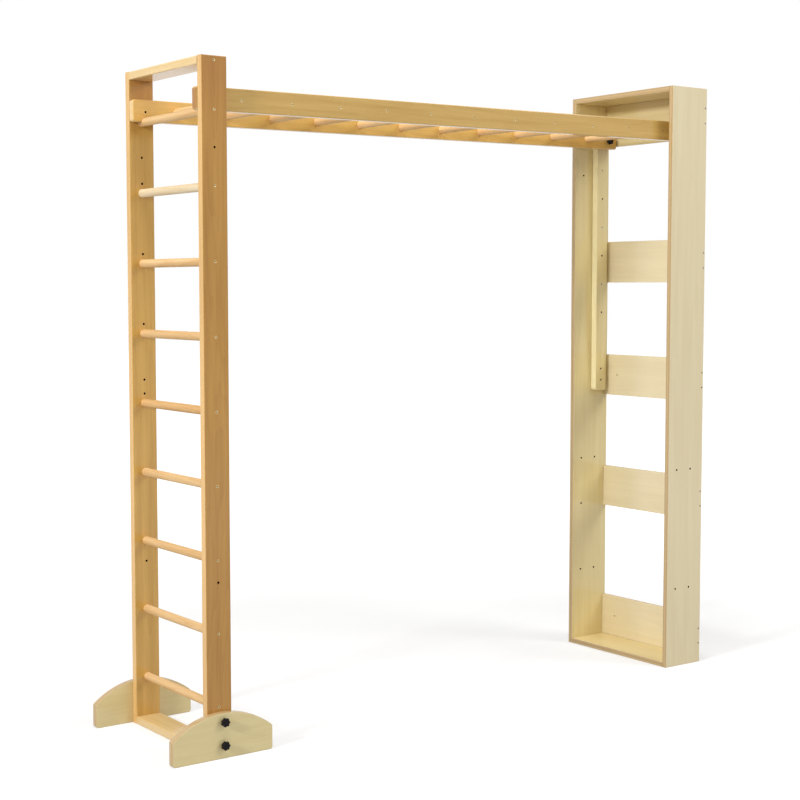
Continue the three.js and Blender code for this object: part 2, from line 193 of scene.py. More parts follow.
class ClimbingHardware(bpy.types.PropertyGroup):
    """Sizes and colours of knobs, studs and screws."""

    knob_lobes: count("Knob lobes", "Lobes round a star knob", 7)
    lobe_depth: length("Lobe depth", "Depth of the hollows between the lobes", 0.003)
    head_length: length("Knob length", "Length of a knob from the wood to its face", 0.019)
    hub_length: length("Hub length", "Collar between the knob's grip and the wood", 0.006)
    hub_radius: length("Hub radius", "Radius of that collar", 0.0095)
    cap_radius: length("Cap radius", "Radius of the cap in the knob's face", 0.0085)
    thread_pitch: length("Thread pitch", "Pitch of the stud's thread", 0.00125)
    thread_depth: length("Thread depth", "Depth of the stud's thread", 0.0006)
    stud_radius: length("Stud radius", "Outer radius of the stud", 0.004)
    screw_radius: length("Screw head radius", "Radius of a sunk screw head", 0.0043)
    # Painted shade: a dark disc of this radius on each screw head.
    recess_shade_radius: length("Recess radius", "Radius of the shaded cross in a screw's head", 0.0025)
    screw_sink: length("Screw sink", "Screw head below the wood's face", 0.0012)
    slat_screw_spacing: length("Slat screws", "Distance between the two screws in a slat's end", 0.062)
    cleat_screws: count("Cleat screws", "Screws in each cleat", 3)
    # The sleeves are near-black tubes of painted shade inside the bolt holes.
    hole_shade_wall: length("Sleeve wall", "Wall of the sleeves that line the bolt holes", 0.0004)
    hole_shade_gap: length("Sleeve gap", "Sleeve's radius short of its hole's radius", 0.00025)
    knob_colour: colour("Knob", "Moulded plastic of the knobs", (0.008, 0.006, 0.007))
    # Painted shade: the colour that darkens the bolt holes.
    hole_shade_colour: colour("Sleeve", "Blackened steel of the sleeves", (0.004, 0.003, 0.003))
    brass_colour: colour("Brass", "Yellow-passivated screws", (0.98, 0.82, 0.50))
    # Painted shade: the dark colour of the disc in each screw head's recess.
    recess_painted_shade_colour: colour("Recess", "Shaded cross in a screw's head", (0.03, 0.018, 0.008))
    spacer_colour: colour("Spacer", "Moulded plastic of the spacers", (0.02, 0.02, 0.02))
    steel_colour: colour("Steel", "Zinc-plated steel", (0.55, 0.54, 0.51))


class ClimbingHoles(bpy.types.PropertyGroup):
    """Places and sizes of the bolt holes."""

    plain_radius: length("Plain hole", "Radius of the holes in uprights and sides", 0.00428)
    stud_hole_radius: length("Stud hole", "Radius of the holes in cleats and rails", 0.00418)
    blind_depth: length("Blind depth", "Depth of the holes beside the hook places", 0.014)
    hook_places: count("Hook places", "Heights at which the overhead ladder can hang", 5)
    hook_rise: length("Hook rise", "Rail's bolt above the rung that it hooks over", 0.034)
    spare_offset: length("Spare hole", "Spare hole above an upright's lowest one, below a cleat's", 0.05)
    lock_heights: heights("Lock heights", "Holes that lock the stored ladder, on the ladder", (0.595, 2.046))
    lock_lift: length("Lock lift", "Stored ladder above the floor", 0.03)
    lock_depth: length("Lock depth", "Lock holes behind the box front", 0.0495)
    foot_heights: heights("Foot heights", "Holes that hold the stored feet", (0.328, 0.828))
    foot_depth: length("Foot depth", "Middle of the foot holes behind the box front", 0.089)
    foot_spacing: length("Foot spacing", "Distance between the two holes of a foot", 0.08)


class ClimbingStage(bpy.types.PropertyGroup):
    """Camera, floor and light."""

    camera_place: bpy.props.FloatVectorProperty(
        name="Camera", description="Camera's place", subtype="TRANSLATION", unit="LENGTH",
        default=(-3.63405, -4.8204, 1.5848),
    )
    camera_turn: rotation("Camera turn", "Turn from +Y towards +X", 36.226)
    camera_dip: rotation("Camera dip", "Dip below the horizon", 4.125)
    lens: bpy.props.FloatProperty(
        name="Lens", description="Focal length on a 36 mm sensor", unit="CAMERA", default=70.189
    )
    floor_tone: colour("Floor", "Tone of the floor for the light that it throws back", (0.52, 0.52, 0.52))
    floor_shadow: number("Floor shadow", "Share of the lamps' light that the camera sees on the floor", 0.6)
    glow_near: number("Glow near", "Floor's own white beside the set", 0.45)
    glow_far: number("Glow far", "Floor's own white far from the set, where the lamps reach less", 0.84)
    glow_start: length("Glow start", "Distance from the middle at which that white begins to grow", 1.8)
    glow_end: length("Glow end", "Distance from the middle at which it is full", 5.0)
    sky_strength: number("Sky", "Even light from all round", 0.41)
    key_power: number("Key", "Watts of the lamp in front of the ladder", 590)
    fill_power: number("Fill", "Watts of the large lamp to the right of the camera", 265)
    top_power: number("Top", "Watts of the large lamp overhead", 130)


def wire(tree, kind, inputs=None, **settings):
    """One shader node. Each input is a number, a colour or another node's output socket."""
    made = tree.nodes.new(kind)
    for name, value in settings.items():
        setattr(made, name, value)
    for name, value in (inputs or {}).items():
        if isinstance(value, bpy.types.NodeSocket):
            tree.links.new(value, made.inputs[name])
        else:
            made.inputs[name].default_value = value
    return made


def math_node(tree, operation, *values):
    """Output of a Math node."""
    return wire(tree, "ShaderNodeMath", dict(enumerate(values)), operation=operation).outputs[0]


def noise(tree, vector, scale, detail, roughness=0.5):
    """Factor of a Noise Texture."""
    inputs = {"Vector": vector, "Scale": scale, "Detail": detail, "Roughness": roughness}
    return wire(tree, "ShaderNodeTexNoise", inputs).outputs[0]


def ramp(tree, value, low, high, to_low=0.0, to_high=1.0):
    """Value carried from one range to another, clamped."""
    inputs = {"Value": value, "From Min": low, "From Max": high, "To Min": to_low, "To Max": to_high}
    return wire(tree, "ShaderNodeMapRange", inputs).outputs[0]


def mix(tree, factor, first, second):
    """Colour between two colours."""
    made = wire(tree, "ShaderNodeMix", data_type="RGBA")
    for name, value in (("Factor_Float", factor), ("A_Color", first), ("B_Color", second)):
        socket = next(s for s in made.inputs if s.identifier == name)
        if isinstance(value, bpy.types.NodeSocket):
            tree.links.new(value, socket)
        else:
            socket.default_value = value
    return next(s for s in made.outputs if s.identifier == "Result_Color")


def rgba(tone):
    """A colour property as the four numbers that a socket takes."""
    return (*tone, 1.0)


def new_group(name, inputs, outputs):
    """An empty shader node group with named sockets, and its input and output nodes."""
    tree = bpy.data.node_groups.new(name, "ShaderNodeTree")
    for label, kind in inputs:
        tree.interface.new_socket(label, in_out="INPUT", socket_type=kind)
    for label, kind in outputs:
        tree.interface.new_socket(label, in_out="OUTPUT", socket_type=kind)
    return tree, tree.nodes.new("NodeGroupInput").outputs, tree.nodes.new("NodeGroupOutput").inputs


def grain_group(name):
    """Grain of a board whose grain runs along Z of Place.

    Every value is a noise field drawn out along the grain. Lines are the contour lines of a slow field, as
    on a board sawn along the trunk. Bands are broad stripes of tone and Streaks fine ones, Pores are short
    dark dashes, and Cloud is the slow drift of tone over a board.
    """
    value = "NodeSocketFloat"
    tree, given, result = new_group(
        name,
        [("Place", "NodeSocketVector"), ("Line Count", value)],
        [("Lines", value), ("Bands", value), ("Streaks", value), ("Pores", value), ("Cloud", value)],
    )

    def drawn_out(share):
        scale = {0: given["Place"], 1: (1.0, 1.0, share)}
        return wire(tree, "ShaderNodeVectorMath", scale, operation="MULTIPLY").outputs[0]

    line_sharpness = 2.5
    field = noise(tree, drawn_out(share=0.07), scale=11.0, detail=2.0, roughness=0.4)
    counted = math_node(tree, "MULTIPLY", field, given["Line Count"])
    saw = math_node(tree, "FRACT", counted)
    dashes = noise(tree, drawn_out(share=0.07), scale=850.0, detail=1.0)
    made = {
        "Lines": math_node(tree, "POWER", saw, line_sharpness),
        "Bands": noise(tree, drawn_out(share=0.05), scale=36.0, detail=2.0, roughness=0.55),
        "Streaks": noise(tree, drawn_out(share=0.015), scale=260.0, detail=3.0, roughness=0.6),
        "Pores": ramp(tree, dashes, low=0.62, high=0.74),
        "Cloud": noise(tree, drawn_out(share=0.3), scale=4.0, detail=2.0),
    }
    for output, socket in made.items():
        tree.links.new(socket, result[output])
    return tree


def facing_group(name):
    """Mask of the faces that look along one axis: 1 where the surface normal lies along Axis."""
    vector = "NodeSocketVector"
    tree, given, result = new_group(
        name, [("Normal", vector), ("Axis", vector)], [("Mask", "NodeSocketFloat")]
    )
    inputs = {0: given["Normal"], 1: given["Axis"]}
    along = wire(tree, "ShaderNodeVectorMath", inputs, operation="DOT_PRODUCT").outputs["Value"]
    either_way = math_node(tree, "ABSOLUTE", along)
    tree.links.new(ramp(tree, either_way, low=0.72, high=0.95), result["Mask"])
    return tree


def inward_group(name):
    """Mask of the faces of a piece on either side that look towards the middle plane of the set, where tones
    of painted light go.

    There the Y of the normal and the Y of the place have opposite signs.
    """
    vector = "NodeSocketVector"
    tree, given, result = new_group(
        name, [("Normal", vector), ("Place", vector)], [("Mask", "NodeSocketFloat")]
    )
    looks = wire(tree, "ShaderNodeSeparateXYZ", {0: given["Normal"]}).outputs["Y"]
    lies = wire(tree, "ShaderNodeSeparateXYZ", {0: given["Place"]}).outputs["Y"]
    away = math_node(tree, "MULTIPLY", looks, lies)
    least_inward = -0.05
    tree.links.new(math_node(tree, "LESS_THAN", away, least_inward), result["Mask"])
    return tree


def speckle_group(name):
    """Fine unevenness of moulded plastic and plated steel: a mottled tone and a pitted height."""
    value = "NodeSocketFloat"
    tree, given, result = new_group(
        name, [("Place", "NodeSocketVector"), ("Size", value)], [("Mottle", value), ("Pits", value)]
    )
    grown = {0: given["Place"], "Scale": math_node(tree, "DIVIDE", 1.0, given["Size"])}
    near = wire(tree, "ShaderNodeVectorMath", grown, operation="SCALE").outputs[0]
    tree.links.new(noise(tree, near, scale=1.0, detail=3.0), result["Mottle"])
    tree.links.new(noise(tree, near, scale=6.0, detail=2.0), result["Pits"])
    return tree


GROUPS = {
    "Wood grain": grain_group,
    "Facing": facing_group,
    "Inward": inward_group,
    "Speckle": speckle_group,
}


def placed(tree, name, inputs):
    """Outputs of a node group placed in a material. The group is made when it is first placed."""
    group = bpy.data.node_groups.get(name) or GROUPS[name](name)
    return wire(tree, "ShaderNodeGroup", inputs, node_tree=group).outputs


def new_material(name):
    """A material with its Principled shader, ready to be wired."""
    made = bpy.data.materials.new(name)
    made.use_nodes = True
    return made, made.node_tree, made.node_tree.nodes["Principled BSDF"]


def settle(shader, values):
    """Puts values that are the same all over on a shader's own sockets."""
    for name, value in values.items():
        shader.inputs[name].default_value = value


def emboss(tree, shader, height, strength, distance):
    """Gives a shader fine relief from a height that changes over the surface."""
    bump = wire(tree, "ShaderNodeBump", {"Height": height, "Strength": strength, "Distance": distance})
    tree.links.new(bump.outputs[0], shader.inputs["Normal"])


def grain_tone(tree, grown):
    """How dark the wood is, from 0 to 1: a weighed sum of the grain's stripes, lines and clouds."""
    shares = {"Bands": 0.8, "Lines": 0.12, "Streaks": 0.2, "Cloud": 0.4}
    total = 0.0
    for output, share in shares.items():
        total = math_node(tree, "MULTIPLY_ADD", grown[output], share, total)
    return ramp(tree, total, low=0.5, high=1.0)


def ply_shade(tree, depth, layer, pale, deep):
    """Tone of a panel's edge: even stripes along its thickness, with some layers darker than others."""
    stripe_share = 0.5
    stripes = math_node(tree, "PINGPONG", math_node(tree, "DIVIDE", depth, layer), 1.0)
    across = wire(tree, "ShaderNodeCombineXYZ", {0: depth}).outputs[0]
    uneven = noise(tree, across, scale=130.0, detail=0.0)
    core = ramp(tree, uneven, low=0.35, high=0.65, to_high=0.5)
    layered = math_node(tree, "MULTIPLY_ADD", ramp(tree, stripes, low=0.3, high=0.7), stripe_share, core)
    return mix(tree, layered, rgba(pale), rgba(deep))


def wood(name, light, dark, lines, grain, edges=None, ends=None, inner=None, ply=None, head=None, coat=None):
    """Lacquered wood whose grain runs along one axis.

    edges is (axis, tone) of a board's narrow edges, paler partly for their grain and partly as painted sheen;
    ends the two tones of the rings in its end grain, and inner the (pale, dark) tones of faces that look to
    the middle, which are painted light. ply is (thickness axis, layer, pale, dark) of a panel, whose edges
    show its layers as stripes along the thickness. head is (low, high, share, tone) of a board that takes on
    a painted shade of another tone from one height to another. coat is the weight of the clear coat.
    """
    material, tree, shader = new_material(name)
    spot = wire(tree, "ShaderNodeTexCoord").outputs
    split = wire(tree, "ShaderNodeSeparateXYZ", {0: spot["Object"]}).outputs
    order = enumerate(GRAIN_ORDER[grain])
    turned = wire(tree, "ShaderNodeCombineXYZ", {place: split[axis] for place, axis in order}).outputs[0]
    grown = placed(tree, "Wood grain", {"Place": turned, "Line Count": lines})

    def facing(axis):
        return placed(tree, "Facing", {"Normal": spot["Normal"], "Axis": AXES[axis]})["Mask"]

    pore_share = 0.15
    pore_tone = [0.7 * part for part in dark]
    ring_count = 60.0
    tone = grain_tone(tree, grown)
    shade = mix(tree, tone, rgba(light), rgba(dark))
    if inner:
        # Faces that look to the middle take the inner tones, which are painted light.
        looks_in = placed(tree, "Inward", {"Normal": spot["Normal"], "Place": spot["Object"]})["Mask"]
        shade = mix(tree, looks_in, shade, mix(tree, tone, *[rgba(part) for part in inner]))
    pores = math_node(tree, "MULTIPLY", grown["Pores"], pore_share)
    shade = mix(tree, pores, shade, rgba(pore_tone))
    # Painted shade: a board's wood turns towards another tone from one height up.
    if head:
        low, high, share, tint = head
        shade = mix(tree, ramp(tree, split["Z"], low, high, to_high=share), shade, rgba(tint))
    # Narrow edges take a paler tone: partly grain, partly painted sheen.
    if edges:
        axis, pale = edges
        cover = ramp(tree, tone, low=0.0, high=1.0, to_low=0.95, to_high=0.6)
        shade = mix(tree, math_node(tree, "MULTIPLY", facing(axis), cover), shade, rgba(pale))
    if ends:
        rings = math_node(tree, "FRACT", math_node(tree, "MULTIPLY", grown["Cloud"], ring_count))
        shade = mix(tree, facing(grain), shade, mix(tree, rings, *[rgba(part) for part in ends]))
    if ply:
        axis, *layers = ply
        edge = math_node(tree, "SUBTRACT", 1.0, facing(axis))
        shade = mix(tree, edge, shade, ply_shade(tree, split[axis], *layers))
    roughness = ramp(tree, grown["Streaks"], low=0.25, high=0.75, to_low=0.4, to_high=0.55)
    tree.links.new(shade, shader.inputs["Base Color"])
    tree.links.new(roughness, shader.inputs["Roughness"])
    lacquer = coat or bpy.context.scene.climbing_wood.lacquer
    settle(shader, {"Specular IOR Level": 0.0, "Coat Weight": lacquer, "Coat Roughness": 0.15})
    height = math_node(tree, "SUBTRACT", grown["Streaks"], grown["Pores"])
    emboss(tree, shader, height, strength=0.1, distance=0.0004)
    return material


def moulded(name, tone, size, rough, shine=0.5, metallic=0.0):
    """Plastic or plated steel: a speckled tone, roughness and relief round one colour.

    size is that of the speckles, rough the (least, most) roughness.
    """
    contrast = 0.25
    material, tree, shader = new_material(name)
    spot = wire(tree, "ShaderNodeTexCoord").outputs["Object"]
    speckle = placed(tree, "Speckle", {"Place": spot, "Size": size})
    bright = [min(1.0, (1 + contrast) * part) for part in tone]
    deep = [(1 - contrast) * part for part in tone]
    least, most = rough
    roughness = ramp(tree, speckle["Mottle"], low=0.3, high=0.7, to_low=least, to_high=most)
    tree.links.new(mix(tree, speckle["Mottle"], rgba(deep), rgba(bright)), shader.inputs["Base Color"])
    tree.links.new(roughness, shader.inputs["Roughness"])
    settle(shader, {"Metallic": metallic, "Specular IOR Level": shine})
    emboss(tree, shader, speckle["Pits"], strength=0.15, distance=0.0002)
    return material


def finish(name):
    """The material of that name, made once from the scene's settings."""
    found = bpy.data.materials.get(name)
    if found:
        return found
    woods = bpy.context.scene.climbing_wood
    hard = bpy.context.scene.climbing_hardware
    ladder = (woods.ladder_light, woods.ladder_dark, woods.ladder_lines)
    # Inner tones of uprights and rails: painted light on the faces that look to the middle.
    painted_lit_ladder_inner = (woods.painted_lit_ladder_inner_pale, woods.painted_lit_ladder_inner_dark)
    rail = (woods.rail_light, woods.rail_dark, woods.ladder_lines)
    painted_lit_rail_inner = (woods.painted_lit_rail_inner_pale, woods.painted_lit_rail_inner_dark)
    board = (woods.board_light, woods.board_dark, woods.ladder_lines)
    rung = (woods.rung_light, woods.rung_dark, woods.ladder_lines)
    pale_rung = (woods.pale_rung_light, woods.pale_rung_dark, woods.ladder_lines)
    red_rung = (woods.red_rung_light, woods.red_rung_dark, woods.ladder_lines)
    panel = (woods.panel_light, woods.panel_dark, woods.panel_lines)
    # Inside tones: painted bounce light inside the box, and the feet's own tone.
    inside = (woods.feet_and_painted_bounce_pale, woods.feet_and_painted_bounce_dark, woods.panel_lines)
    level = (woods.painted_lit_level_pale, woods.painted_lit_level_dark, woods.panel_lines)
    ends = (woods.end_dark, woods.ladder_dark)
    pale_ends = (woods.edge_grain_and_painted_sheen, woods.board_light)
    red_ends = (woods.red_end_and_painted_head_shade, woods.ladder_dark)
    # The uprights' heads: painted shade in a red tone.
    head = (woods.painted_shade_start, woods.painted_shade_end, woods.painted_shade_share, woods.red_end_and_painted_head_shade)
    coarse, fine = 0.004, 0.002  # metres across a speckle

    # Edge tone: partly grain, partly painted sheen.
    def narrow(axis):
        return axis, woods.edge_grain_and_painted_sheen

    def layers(axis):
        return axis, woods.ply_layer, woods.ply_light, woods.ply_dark

    makers = {
        "ladder_wood_upright": lambda: wood(name, *ladder, "Z", narrow("X"), ends, painted_lit_ladder_inner, head=head),
        # The left rail's end grain takes pale rings and the right rail's red ones.
        "ladder_wood_rail_left": lambda: wood(name, *rail, "X", narrow("Z"), pale_ends, painted_lit_rail_inner),
        "ladder_wood_rail_right": lambda: wood(name, *rail, "X", narrow("Z"), red_ends, painted_lit_rail_inner),
        "ladder_wood_across": lambda: wood(name, *board, "Y", ends=ends),
        "ladder_wood_rung": lambda: wood(name, *rung, "Y", ends=ends, coat=woods.rung_lacquer),
        "ladder_wood_rung_pale": lambda: wood(name, *pale_rung, "Y", ends=ends, coat=woods.rung_lacquer),
        "ladder_wood_rung_red": lambda: wood(name, *red_rung, "Y", ends=ends, coat=woods.rung_lacquer),
        # The sides' inner faces take the inside tones: painted bounce light.
        "panel_wood_side": lambda: wood(name, *panel, "Z", inner=inside[:2], ply=layers("Y")),
        "panel_wood_slat": lambda: wood(name, *panel, "Y", ply=layers("X")),
        # The highest slat, in the shade of the box's top, takes the inside tones as painted warm shade.
        "panel_wood_slat_painted_shade": lambda: wood(name, *inside, "Y", ply=layers("X")),
        # The box's top and bottom take tones of painted light.
        "panel_wood_level_painted_light": lambda: wood(name, *level, "Y", ply=layers("Z")),
        # Cleats: inside tones of painted bounce light and a painted highlight on the front edges.
        "panel_wood_cleat_painted_light": lambda: wood(name, *inside, "Z", ("X", woods.cleat_edge_painted_highlight)),
        "panel_wood_foot": lambda: wood(name, *inside, "X", ply=layers("Y")),
        "moulded_knob": lambda: moulded(name, hard.knob_colour, coarse, rough=(0.3, 0.42), shine=0.12),
        "moulded_spacer": lambda: moulded(name, hard.spacer_colour, coarse, rough=(0.45, 0.6), shine=0.1),
        # Near-black lining of the bolt holes: painted shade.
        "painted_hole_shade": lambda: moulded(name, hard.hole_shade_colour, fine, rough=(0.5, 0.65), shine=0.0),
        "brass_screw": lambda: moulded(name, hard.brass_colour, fine, rough=(0.4, 0.55), metallic=1.0),
        "painted_recess_shade": lambda: moulded(name, hard.recess_painted_shade_colour, fine, rough=(0.5, 0.65), shine=0.0),
        "plated_steel": lambda: moulded(name, hard.steel_colour, fine, rough=(0.3, 0.45), metallic=1.0),
    }
    return makers[name]()


def put_piece(name, points, faces, material, body):
    """A new piece from an array of points and arrays of faces, closed, turned outwards and smooth."""
    mesh = bpy.data.meshes.new(name)
    mesh.from_pydata(points, [], [face for kind in faces for face in kind.tolist()])
    shell = bmesh.new()
    shell.from_mesh(mesh)
    bmesh.ops.recalc_face_normals(shell, faces=shell.faces)
    shell.to_mesh(mesh)
    shell.free()
    mesh.shade_smooth()
    mesh.set_sharp_from_angle(angle=SHARP_ANGLE)
    mesh.materials.append(finish(material))
    piece = bpy.data.objects.new(name, mesh)
    bpy.context.scene.collection.objects.link(piece)
    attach(piece, body)
    return piece


def tube_faces(rows, columns, closed=False):
    """Quads of a grid of rows that closes on itself along its columns and, if closed, its rows too."""
    row, column = np.meshgrid(np.arange(rows if closed else rows - 1), np.arange(columns), indexing="ij")
    after = (column + 1) % columns
    near, far = row * columns, (row + 1) % rows * columns
    return np.stack([near + column, far + column, far + after, near + after], -1).reshape(-1, 4)


def round_points(radius, offset):
    """Points of a surface spun about Y, (x, y, z) = (r cos a, offset, r sin a).

    radius has one row of radii round the axis for each offset along it, so a lobed section is spun too.
    """
    rows, columns = radius.shape
    angle = np.arange(columns) * (2 * np.pi / columns)
    along = np.repeat(offset, columns).reshape(rows, columns)
    return np.stack([radius * np.cos(angle), along, radius * np.sin(angle)], -1).reshape(-1, 3)


def spun(radius, offset):
    """Points and faces of a surface spun about Y and closed by a fan at each end."""
    rows, columns = radius.shape
    poles = np.array([[0.0, offset[0], 0.0], [0.0, offset[-1], 0.0]])
    first, last = rows * columns, rows * columns + 1
    column = np.arange(columns)
    after = (column + 1) % columns
    top = (rows - 1) * columns
    near_fan = np.stack([np.full(columns, first), column, after], -1)
    far_fan = np.stack([np.full(columns, last), top + after, top + column], -1)
    points = np.concatenate([round_points(radius, offset), poles])
    return points, [tube_faces(rows, columns), near_fan, far_fan]


def copies(faces, times, size):
    """Faces of a number of like shapes whose points follow one another, size points each."""
    shift = np.arange(times)[:, None, None] * size
    return [(kind[None] + shift).reshape(-1, kind.shape[1]) for kind in faces]


def even(radii, columns):
    """The same radius all round for each row."""
    return np.repeat(np.asarray(radii, float)[:, None], columns, axis=1)


class CLIMBING_OT_boards(bpy.types.Operator):
    """Gives each board its wood, with the grain along the board and layers on the panels' edges"""

    bl_idname = "climbing.boards"
    bl_label = "Finish boards"

    def execute(self, context):
        kinds = {
            "ladder_wood_upright": ["upright_left", "upright_right"],
            "ladder_wood_rail_left": ["rail_left"],
            "ladder_wood_rail_right": ["rail_right"],
            "ladder_wood_across": ["ladder_top_board", "ladder_bottom_board"],
            "panel_wood_side": ["box_side_left", "box_side_right"],
            "panel_wood_slat": SLATS[:-1],
            # Painted warm shade on the highest slat.
            "panel_wood_slat_painted_shade": SLATS[-1:],
            # Painted light on the box's top and bottom.
            "panel_wood_level_painted_light": ["box_top", "box_bottom"],
            # Cleats carry painted light and a painted highlight.
            "panel_wood_cleat_painted_light": ["hanger_cleat_left", "hanger_cleat_right"],
            "plated_steel": numbered("wall_insert_") + numbered("foot_insert_"),
            "moulded_spacer": numbered("wall_spacer_"),
        }
        for material, names in kinds.items():
            for name in names:
                NODES[name].material_slots[0].material = finish(material)
        return {"FINISHED"}


class CLIMBING_OT_rungs(bpy.types.Operator):
    """Turns a smooth dowel for each rung"""

    bl_idname = "climbing.rungs"
    bl_label = "Turn rungs"

    def execute(self, context):
        columns = 40
        chamfer = 0.0015
        # Two rungs take tones of their own, one redder and one paler
        odd_tones = {"ladder_rung_5": "ladder_wood_rung_red", "ladder_rung_8": "ladder_wood_rung_pale"}
        for body, names in (("free_ladder", LADDER_RUNGS), ("overhead_ladder", OVERHEAD_RUNGS)):
            for node in names:
                half = extent(node)[1] / 2
                radius = extent(node)[0] / 2
                offset = np.array([-half, chamfer - half, half - chamfer, half])
                radii = np.array([radius - chamfer, radius, radius, radius - chamfer])
                points, faces = spun(even(radii, columns), offset)
                material = odd_tones.get(node, "ladder_wood_rung")
                dowel = put_piece(
                    "dowel_" + node, points + middle(node), faces, material, body
                )
                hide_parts(node)
        return {"FINISHED"}


def bend(centre_x, centre_z, radius, start, end, steps):
    """Points of an arc in the X, Z plane and the outward direction at each."""
    angle = np.linspace(start, end, steps)
    outward = np.stack([np.cos(angle), np.sin(angle)], -1)
    return np.array([centre_x, centre_z]) + radius * outward, outward


class CLIMBING_OT_feet(bpy.types.Operator):
    """Shapes the half-moon feet: an arch between two upright ends, with rounded corners and edges"""

    bl_idname = "climbing.feet"
    bl_label = "Shape feet"

    def execute(self, context):
        end_height = 0.084
        corner = 0.010
        arris = 0.0015
        border = 0.001
        corner_steps = 9
        shoulder_steps = 7
        arch_steps = 64
        arris_steps = 5
        quarter = math.pi / 2
        for hand in SIDES:
            node = "foot_" + hand
            long, thick, high = extent(node)
            rise = high - end_height
            radius = (long * long / 4 + rise * rise) / (2 * rise)
            low = high - radius
            shoulder_x = long / 2 - corner
            shoulder_z = low + math.sqrt((radius - corner) ** 2 - shoulder_x**2)
            meet = math.atan2(shoulder_z - low, shoulder_x)
            arcs = [
                bend(shoulder_x, corner, corner, -quarter, 0, corner_steps),
                bend(shoulder_x, shoulder_z, corner, 0, meet, shoulder_steps),
                bend(0, low, radius, meet, math.pi - meet, arch_steps),
                bend(-shoulder_x, shoulder_z, corner, math.pi - meet, math.pi, shoulder_steps),
                bend(-shoulder_x, corner, corner, math.pi, 3 * quarter, corner_steps),
            ]
            outline = np.concatenate([points for points, outward in arcs])
            outward = np.concatenate([outward for points, outward in arcs])
            turn = np.linspace(0, quarter, arris_steps)
            inset = np.concatenate([[arris + border], arris * (1 - np.sin(turn))])
            step = np.concatenate([[0.0], arris * (1 - np.cos(turn))]) - thick / 2
            inset = np.concatenate([inset, inset[::-1]])
            step = np.concatenate([step, -step[::-1]])
            flat = outline[None] - inset[:, None, None] * outward[None]
            across = np.repeat(step, len(outline)).reshape(len(step), -1)
            points = np.stack([flat[..., 0], across, flat[..., 1]], -1).reshape(-1, 3)
            rows, columns = len(step), len(outline)
            border_points = np.arange(columns)[None]
            faces = [tube_faces(rows, columns), border_points, border_points + (rows - 1) * columns]
            place = middle(node) - np.array([0, 0, high / 2])
            foot = put_piece(
                "arched_" + node, points + place, faces, "panel_wood_foot", "free_ladder"
            )
            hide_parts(node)
        return {"FINISHED"}


class CLIMBING_OT_knobs(bpy.types.Operator):
    """Moulds the star knobs, each a lobed grip on a collar, and cuts the thread of their studs"""

    bl_idname = "climbing.knobs"
    bl_label = "Mould knobs"

    def execute(self, context):
        hard = context.scene.climbing_hardware
        for node in FOOT_KNOBS + WALL_KNOBS:
            low, high = corners(node)
            side = 1 if "left" in node else -1
            outward = side if node in FOOT_KNOBS else -side
            face = high[1] if outward > 0 else low[1]
            tip = low[1] if outward > 0 else high[1]
            flip = np.array([1, outward, 1])
            stud_tip = self.axis(node) + np.array([0, tip, 0])
            grip, head = self.head(hard, node)
            reach = abs(face - tip) - head[-1]
            seat = stud_tip + np.array([0, outward * reach, 0])
            points, faces = spun(grip, head)
            knob = put_piece(
                "star_" + node, points * flip + seat, faces, "moulded_knob", node
            )
            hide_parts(node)
            points, faces = self.thread(hard, reach)
            put_piece(
                "stud_" + node, points * flip + stud_tip, faces, "plated_steel", node
            )
        return {"FINISHED"}

    def axis(self, node):
        """Where a knob's axis crosses the middle plane: its insert's centre, with 0 for Y."""
        return middle(node.replace("knob", "insert")) * np.array([1, 0, 1])

    def head(self, hard, node):
        """Radii and offsets of the head, seat at 0.

        Collar, then a boxy ring whose section is a superellipse and whose radius dips between the lobes as
        (1 - cos(lobes a)) / 2, then a sunken cap that is crowned by the square of the radius.
        """
        columns_per_lobe = 14
        ring_steps = 17
        boxiness = 0.42  # exponent of the superellipse; 1 is round and 0 square
        cap_gap = 0.0004
        cap_sink = 0.0009
        cap_crown = 0.0006
        collar_arris = 0.0006
        collar_gap = 0.0002
        columns = hard.knob_lobes * columns_per_lobe
        angle = np.arange(columns) * (2 * np.pi / columns)
        outer = extent(node)[2] / 2 / math.cos(math.pi / hard.knob_lobes / 2)
        half = (hard.head_length - hard.hub_length) / 2
        turn = np.linspace(-np.pi / 2, np.pi / 2, ring_steps)
        swell = np.abs(np.cos(turn)) ** boxiness
        inner = hard.cap_radius + cap_gap
        ring = inner + (outer - inner) * swell
        rise = hard.hub_length + half + half * np.sign(np.sin(turn)) * np.abs(np.sin(turn)) ** boxiness
        collar = np.array([hard.hub_radius - collar_arris, hard.hub_radius, hard.hub_radius])
        collar_rise = np.array([0.0, collar_arris, hard.hub_length - collar_gap])
        share = np.array([1.0, 0.94, 0.8, 0.55, 0.25])
        cap = hard.cap_radius * share
        cap_rise = hard.head_length - cap_sink + cap_crown * (1 - share**2)
        radii = np.concatenate([collar, ring[1:], cap])
        offset = np.concatenate([collar_rise, rise[1:], cap_rise])
        dip = np.concatenate([0 * collar, swell[1:], 0 * cap]) * hard.lobe_depth
        lobes = (1 - np.cos(hard.knob_lobes * angle)) / 2
        return radii[:, None] - dip[:, None] * lobes[None], offset

    def thread(self, hard, reach):
        """Points and faces of the stud: its radius dips by the thread's depth along a helix,
        r = R - depth * (1 - |2 f - 1|), where f is the fraction of (offset / pitch - angle / turn)."""
        columns = 16
        rows_per_turn = 4
        rows = int(reach / hard.thread_pitch * rows_per_turn)
        offset = np.linspace(0, reach, rows)
        angle = np.arange(columns) / columns
        part = np.mod(offset[:, None] / hard.thread_pitch - angle[None], 1.0)
        radius = hard.stud_radius - hard.thread_depth * (1 - np.abs(2 * part - 1))
        return spun(radius, offset)


